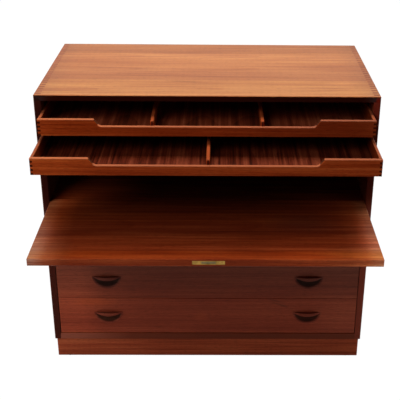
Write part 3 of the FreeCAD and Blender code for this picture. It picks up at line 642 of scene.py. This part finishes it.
def dress_plinth():
    """The plinth's four boards and the blocks in its corners."""
    long_teak = oiled_wood("plinth_teak", "X", plinth_tones, (4.4, 0.0, 0.1), rough=0.5)
    finish_with(long_teak, "plinth_front_board", "plinth_back_board")
    short_teak = oiled_wood("plinth_end_teak", "Y", plinth_tones, (0.6, 2.4, 0.1), rough=0.5)
    finish_with(short_teak, "plinth_right_board", "plinth_left_board")
    finish_with(oiled_wood("block_wood", "Z", box_tones, (0.2, 0.1, 0.3), rough=0.6), "plinth_corner_blocks")


def dress_flap():
    """The flap in one wide board, with a painted sheen at its ends, painted light on its right part, bands
    of painted shade and light along it, and patches of painted shade and sheen.
    """
    fades = [
        behind(flap_low.x, -1, 0, flap_end_reach, flap_left_gain),
        behind(flap_high.x, 1, 0, flap_end_reach, flap_right_gain),
        behind(flap_low.x, -1, 0, flap_tip_reach, flap_tip_gain),
        behind(flap_high.x, 1, 0, flap_tip_reach, flap_tip_gain),
        (0, *flap_right_part_places, flap_right_part_gain),
    ]
    fades += [behind(flap_low.y, -1, 1, reach, gain) for reach, gain in flap_bands]
    teak = oiled_wood(
        "flap_teak", "X", flap_tones, (0.35, 0.16, 0.0), figure=0.35, contrast=1.5, fades=fades,
        patches=flap_patches, under_gain=flap_outer_gain,
    )
    finish_with(teak, "flap_panel")


def dress_tray(shift, name, lining_gain, right_gain, lining_contrast):
    """A tray with a painted sheen on its rims, walls darkened as painted shade, painted light and shade
    across its front, and a darker lining in its bottom.
    """
    front = oiled_wood(
        name + "_front_teak", "X", tray_tones, (shift, 0.1, shift), sheen=tray_sheen, rim_tone=tray_rim,
        end_share=0.2, fades=[(0, *tray_left_places, tray_left_gain), (0, *tray_right_places, right_gain)],
    )
    finish_with(front, name + "_front", name + "_back")
    side = oiled_wood(
        name + "_side_teak", "Y", tray_tones, (shift, shift, 0.2), sheen=tray_sheen, rim_tone=tray_side_rim,
        wall_share=0.32, end_share=0.2,
    )
    finish_with(side, name + "_right_side", name + "_left_side")
    divider = oiled_wood(
        name + "_divider_teak", "Y", tray_tones, (shift, 0.6, 0.4), sheen=tray_sheen, rim_tone=divider_rim,
        wall_share=0.5, end_share=0.9, edge_tone=divider_nose,
    )
    finish_with(divider, *(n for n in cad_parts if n.startswith(name + "_divider")))
    lining = oiled_wood(
        name + "_lining", "Y", scaled(lining_tones, lining_gain), (shift, 1.1, 0.0), rough=0.45,
        sheen=0.015, contrast=lining_contrast,
    )
    finish_with(lining, name + "_bottom")
    finish_with(oiled_wood(name + "_runner_wood", "Y", box_tones, (0.1, shift, 0.0)), name + "_runners")


def dress_drawer(shift, name, gain, low_gain, foot_gain, patches):
    """A drawer: a teak front with carved pulls, with painted light at its ends and towards its foot and
    painted shade on the pulls' tops and in their hollows, and a box of a paler wood.
    """
    tones = scaled(front_tones, gain)
    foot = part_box(name + "_front")[0].z
    fades = [
        (0, *drawer_left_places, drawer_left_gain), (0, *drawer_right_places, drawer_right_gain),
        behind(foot, -1, 2, drawer_low_reach, low_gain), behind(foot, -1, 2, drawer_foot_reach, foot_gain),
    ]
    front = oiled_wood(
        name + "_front_teak", "X", tones, (shift, 0.0, 0.13 * shift), rough=0.42, sheen=0.09,
        contrast=0.95, fades=fades, patches=patches,
    )
    finish_with(front, name + "_front")
    pull = oiled_wood(
        name + "_pull_teak", "X", scaled(tones, pull_gain), (shift + 0.3, 0.05, 0.0), rough=0.42,
        sheen=0.03, hollow_y=drawer_face_y, rim_tone=pull_rim_tone,
    )
    finish_with(pull, name + "_pulls")
    box = oiled_wood(name + "_box_wood", "Y", box_tones, (shift, 0.3, 0.0), rough=0.55)
    finish_with(box, *(name + end for end in ("_right_side", "_left_side", "_bottom", "_runners")))
    back = oiled_wood(name + "_back_wood", "X", box_tones, (0.3, shift, 0.0), rough=0.55)
    finish_with(back, name + "_back")


def metal(name, colour, rough, spots):
    """Worn metal with fine scratches and tarnish, whose spots have a share of the colour."""
    material, tree, shader = blank(name)
    place = node(tree, "ShaderNodeTexCoord").outputs["Object"]
    darker = tuple(c * spots for c in colour)
    stops = list(zip(tarnish_places, (darker, colour)))
    tarnish = ramp(tree, noise(tree, place, tarnish_blotches, *tarnish_detail), stops)
    tree.links.new(tarnish, shader.inputs["Base Color"])
    scratch = noise(tree, place, scratch_blotches)
    swing, drop = scratch_gloss
    tree.links.new(sums(tree, "MULTIPLY_ADD", scratch, swing, rough - drop), shader.inputs["Roughness"])
    shader.inputs["Metallic"].default_value = 1.0
    links = {"Strength": scratch_strength, "Distance": scratch_depth, "Height": scratch}
    tree.links.new(node(tree, "ShaderNodeBump", links).outputs[0], shader.inputs["Normal"])
    return material


def glide_plastic():
    """Dark speckled plastic."""
    material, tree, shader = blank("glide_plastic")
    place = node(tree, "ShaderNodeTexCoord").outputs["Object"]
    speckled = ramp(tree, noise(tree, place, glide_blotches), glide_stops)
    tree.links.new(speckled, shader.inputs["Base Color"])
    shader.inputs["Roughness"].default_value = 0.5
    return material


def dress_fittings(brass, steel):
    """The brass and steel of the hinges and the lock, its browner bolt, and the plastic glides."""
    finish_with(brass, "flap_hinge_plates", "flap_hinge_leaves", "keyhole_escutcheon", "lock_strike")
    finish_with(steel, "lock_case")
    finish_with(metal("brown_bolt", bolt_colour, rough=0.45, spots=0.7), "lock_bolt")
    finish_with(glide_plastic(), "floor_glides")


def piece(name, shape, material, body):
    """Turns a finished bmesh into a piece that rides on a body."""
    bmesh.ops.recalc_face_normals(shape, faces=shape.faces)
    mesh = bpy.data.meshes.new(name)
    shape.to_mesh(mesh)
    shape.free()
    mesh.materials.append(material)
    made = bpy.data.objects.new(name, mesh)
    bpy.context.scene.collection.objects.link(made)
    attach(made, body)
    return made


def box_between(low, high):
    """A bmesh box between two corners."""
    shape = bmesh.new()
    bmesh.ops.create_cube(shape, size=1.0)
    bmesh.ops.scale(shape, vec=high - low, verts=shape.verts)
    bmesh.ops.translate(shape, vec=(low + high) / 2, verts=shape.verts)
    shape.normal_update()
    return shape


def cut_through(shape, point, direction):
    """Splits every face that a plane crosses."""
    everything = shape.verts[:] + shape.edges[:] + shape.faces[:]
    bmesh.ops.bisect_plane(shape, geom=everything, plane_co=point, plane_no=direction)


def add_to(group, shape):
    """Joins a small bmesh into a larger one."""
    mesh = bpy.data.meshes.new("joined")
    shape.to_mesh(mesh)
    shape.free()
    group.from_mesh(mesh)
    bpy.data.meshes.remove(mesh)


def open_slot(shape, middle, half_long, half_high):
    """Cuts a slot through a plate that faces the front, with walls between its two faces."""
    for side in (-1, 1):
        cut_through(shape, middle + Vector((side * half_long, 0.0, 0.0)), (1.0, 0.0, 0.0))
        cut_through(shape, middle + Vector((0.0, 0.0, side * half_high)), (0.0, 0.0, 1.0))
    shape.normal_update()
    windows = []
    for face in shape.faces:
        away = face.calc_center_median() - middle
        if abs(face.normal.y) > squarely and abs(away.x) < half_long and abs(away.z) < half_high:
            windows.append(face)
    edges = [edge for face in windows for edge in face.edges]
    bmesh.ops.delete(shape, geom=windows, context="FACES_ONLY")
    bmesh.ops.bridge_loops(shape, edges=edges)
    bmesh.ops.recalc_face_normals(shape, faces=shape.faces)


def make_lock_plate(brass):
    """The lock's face plate with softened edges and its bolt slot, let in a hair below the flap's edge."""
    low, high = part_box("lock_plate")
    low.y += plate_inset
    shape = box_between(low, high)
    slot_long, slot_high = bolt_slot
    open_slot(shape, (low + high) / 2, slot_long / 2, slot_high / 2)
    rim = [
        edge for edge in shape.edges
        if edge.is_manifold and edge.calc_face_angle() > sharp_angle
        and all(abs(v.co.y - low.y) < same_place for v in edge.verts)
    ]
    bmesh.ops.bevel(
        shape, geom=rim, offset=plate_edge, segments=2, profile=0.5, affect="EDGES", material=-1,
    )
    plate = piece("lock_face_plate", shape, brass, "flap")
    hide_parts("lock_plate")


def add_screw(group, centre, outward, radius, turn):
    """Adds a countersunk slotted screw head to a group. Outward is the way that it faces."""
    shape = bmesh.new()
    proud = screw_proud_share * radius
    bmesh.ops.create_cone(
        shape, cap_ends=True, segments=screw_segments,
        radius1=radius, radius2=radius - proud, depth=2 * proud,
    )
    half_slot = screw_slot_share * radius
    for side in (-1, 1):
        cut_through(shape, (side * half_slot, 0.0, 0.0), (1.0, 0.0, 0.0))
    shape.normal_update()
    groove = [
        face for face in shape.faces
        if face.normal.z > squarely and abs(face.calc_center_median().x) < half_slot / 2
    ]
    sunk = bmesh.ops.extrude_face_region(shape, geom=groove)["geom"]
    left_over = [face for face in groove if face.is_valid]
    if left_over:
        bmesh.ops.delete(shape, geom=left_over, context="FACES_ONLY")
    moved = [v for v in sunk if isinstance(v, bmesh.types.BMVert)]
    bmesh.ops.translate(shape, vec=(0.0, 0.0, -screw_slot_depth * proud), verts=moved)
    facing = Vector(outward).to_track_quat("Z", "Y").to_matrix().to_4x4()
    placed = Matrix.Translation(centre) @ facing @ Matrix.Rotation(turn, 4, "Z")
    bmesh.ops.transform(shape, matrix=placed, verts=shape.verts)
    add_to(group, shape)


def screw_pair(name, node_name, from_end, face_y, face_z, outward, radius, turns, material, body):
    """Two screws near the ends of a long plate."""
    low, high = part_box(node_name)
    group = bmesh.new()
    for x, turn in zip((low.x + from_end, high.x - from_end), turns):
        add_screw(group, Vector((x, face_y, face_z)), outward, radius, turn)
    piece(name, group, material, body)


def make_lock_screws(brass):
    """The screws of the lock's face plate, which face the front, and of the strike, which face down."""
    low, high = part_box("lock_plate")
    screw_pair(
        "lock_plate_screws", "lock_plate", plate_screw_from_end, low.y + plate_inset, (low.z + high.z) / 2,
        (0, -1, 0), plate_screw_radius, plate_screw_turns, brass, "flap",
    )
    low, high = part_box("lock_strike")
    screw_pair(
        "strike_screws", "lock_strike", strike_screw_from_end, (low.y + high.y) / 2, low.z,
        (0, 0, -1), strike_screw_radius, strike_screw_turns, brass, "carcass",
    )


def make_escutcheon_pins(brass):
    """Two flat-headed pins that hold the escutcheon under the open flap."""
    low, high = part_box("keyhole_escutcheon")
    group = bmesh.new()
    for y in (low.y + pin_from_end, high.y - pin_from_end):
        pin = bmesh.new()
        bmesh.ops.create_uvsphere(pin, u_segments=16, v_segments=8, radius=pin_radius)
        bmesh.ops.scale(pin, vec=(1.0, 1.0, pin_height_share), verts=pin.verts)
        bmesh.ops.translate(pin, vec=((low.x + high.x) / 2, y, low.z), verts=pin.verts)
        add_to(group, pin)
    piece("escutcheon_pins", group, brass, "flap")


def make_back_screws(steel):
    """Screws all round the back panel's edge."""
    low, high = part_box("back_panel")
    edge = Vector((back_screw_from_edge, 0.0, back_screw_from_edge))
    low, high = low + edge, high - edge
    places = []
    for i in range(back_screws_across):
        x = low.x + (high.x - low.x) * i / (back_screws_across - 1)
        places += [(x, low.z), (x, high.z)]
    for i in range(1, back_screws_up):
        z = low.z + (high.z - low.z) * i / back_screws_up
        places += [(low.x, z), (high.x, z)]
    group = bmesh.new()
    face_y = high.y - screw_proud_share * back_screw_radius
    for i, (x, z) in enumerate(places):
        add_screw(group, Vector((x, face_y, z)), (0, 1, 0), back_screw_radius, back_screw_turn * i)
    piece("back_screws", group, steel, "carcass")


def seen_or_mirrored(tree):
    """1 for what the camera sees, and for what metal and glass mirror or let through."""
    rays = node(tree, "ShaderNodeLightPath").outputs
    seen = sums(tree, "MAXIMUM", rays["Is Camera Ray"], rays["Is Glossy Ray"])
    return sums(tree, "MAXIMUM", seen, rays["Is Transmission Ray"])


def make_floor():
    """A white floor that shows the cabinet's shadow faintly."""
    mesh = bpy.data.meshes.new("floor")
    shape = bmesh.new()
    bmesh.ops.create_grid(shape, x_segments=1, y_segments=1, size=floor_reach)
    shape.to_mesh(mesh)
    shape.free()
    floor = bpy.data.objects.new("floor", mesh)
    bpy.context.scene.collection.objects.link(floor)
    material = bpy.data.materials.new("floor_white")
    material.use_nodes = True
    tree = material.node_tree
    tree.nodes.clear()
    plain = node(tree, "ShaderNodeBsdfDiffuse", {"Color": grey(floor_grey)}).outputs[0]
    bright = node(tree, "ShaderNodeEmission", {"Color": grey(1.0), "Strength": white_strength}).outputs[0]
    share = sums(tree, "MULTIPLY", seen_or_mirrored(tree), floor_own_white)
    mixed = node(tree, "ShaderNodeMixShader", {0: share, 1: plain, 2: bright}).outputs[0]
    node(tree, "ShaderNodeOutputMaterial", {0: mixed})
    mesh.materials.append(material)


def make_world():
    """White where it is seen or mirrored, and a low even light otherwise."""
    world = bpy.data.worlds.new("studio")
    bpy.context.scene.world = world
    world.use_nodes = True
    tree = world.node_tree
    tree.nodes.clear()
    extra = white_strength - ambient_strength
    strength = sums(tree, "MULTIPLY_ADD", seen_or_mirrored(tree), extra, ambient_strength)
    back = node(tree, "ShaderNodeBackground", {"Color": grey(1.0), "Strength": strength}).outputs[0]
    node(tree, "ShaderNodeOutputWorld", {0: back})


def add_lamp(name, place, target, size, power):
    """A soft lamp that faces a point."""
    data = bpy.data.lights.new(name, "AREA")
    data.shape = "RECTANGLE"
    data.size, data.size_y = size
    data.energy = power
    lamp = bpy.data.objects.new(name, data)
    bpy.context.scene.collection.objects.link(lamp)
    lamp.location = place
    lamp.rotation_euler = (Vector(target) - Vector(place)).to_track_quat("-Z", "Y").to_euler()


def towards(azimuth, elevation):
    """The direction of a lamp, seen from the cabinet."""
    turn, rise = math.radians(azimuth), math.radians(elevation)
    return Vector((-math.sin(turn) * math.cos(rise), -math.cos(turn) * math.cos(rise), math.sin(rise)))


def make_lamps():
    """A wide lamp over the back of the top, a large one from the left and a weak one from the right."""
    ceiling_y = front_y + ceiling_behind_front
    add_lamp("ceiling", (0.0, ceiling_y, ceiling_height), (0.0, ceiling_y, 0.0), ceiling_size, ceiling_power)
    target = Vector((0.0, front_y, (flap_low.z + flap_high.z) / 2))
    for name, azimuth, elevation, size, power in (
        ("left", left_azimuth, left_elevation, left_size, left_power),
        ("right", right_azimuth, right_elevation, right_size, right_power),
    ):
        place = target + side_distance * towards(azimuth, elevation)
        add_lamp(name, place, target, (size, size), power)


def make_camera():
    """The photograph's view."""
    data = bpy.data.cameras.new("camera")
    data.lens = focal_pixels / picture_pixels * data.sensor_width
    data.shift_x = 0.5 - centre_column / picture_pixels
    data.shift_y = centre_row / picture_pixels - 0.5
    camera = bpy.data.objects.new("camera", data)
    bpy.context.scene.collection.objects.link(camera)
    yaw, pitch, roll = (math.radians(a) for a in (camera_yaw, camera_pitch, camera_roll))
    forward = Vector((math.sin(yaw) * math.cos(pitch), math.cos(yaw) * math.cos(pitch), -math.sin(pitch)))
    right = Vector((math.cos(yaw), -math.sin(yaw), 0.0))
    up = right.cross(forward)
    leaned_right = right * math.cos(roll) + up * math.sin(roll)
    leaned_up = up * math.cos(roll) - right * math.sin(roll)
    turn = Matrix((leaned_right, leaned_up, -forward)).transposed()
    place = Vector((camera_right, front_y - camera_from_front, camera_height))
    camera.matrix_world = Matrix.Translation(place) @ turn.to_4x4()
    bpy.context.scene.camera = camera


aged_brass = metal("aged_brass", brass_colour, rough=0.42, spots=0.55)
dull_steel = metal("dull_steel", steel_colour, rough=0.42, spots=0.7)
dress_top()
dress_sides()
dress_inside()
dress_plinth()
dress_flap()
for look in tray_looks:
    dress_tray(*look)
for look in drawer_looks:
    dress_drawer(*look)
dress_fittings(aged_brass, dull_steel)
make_lock_plate(aged_brass)
make_lock_screws(aged_brass)
make_escutcheon_pins(aged_brass)
make_back_screws(dull_steel)
make_floor()
make_world()
make_lamps()
make_camera()
bpy.context.scene.view_settings.view_transform = "Standard"
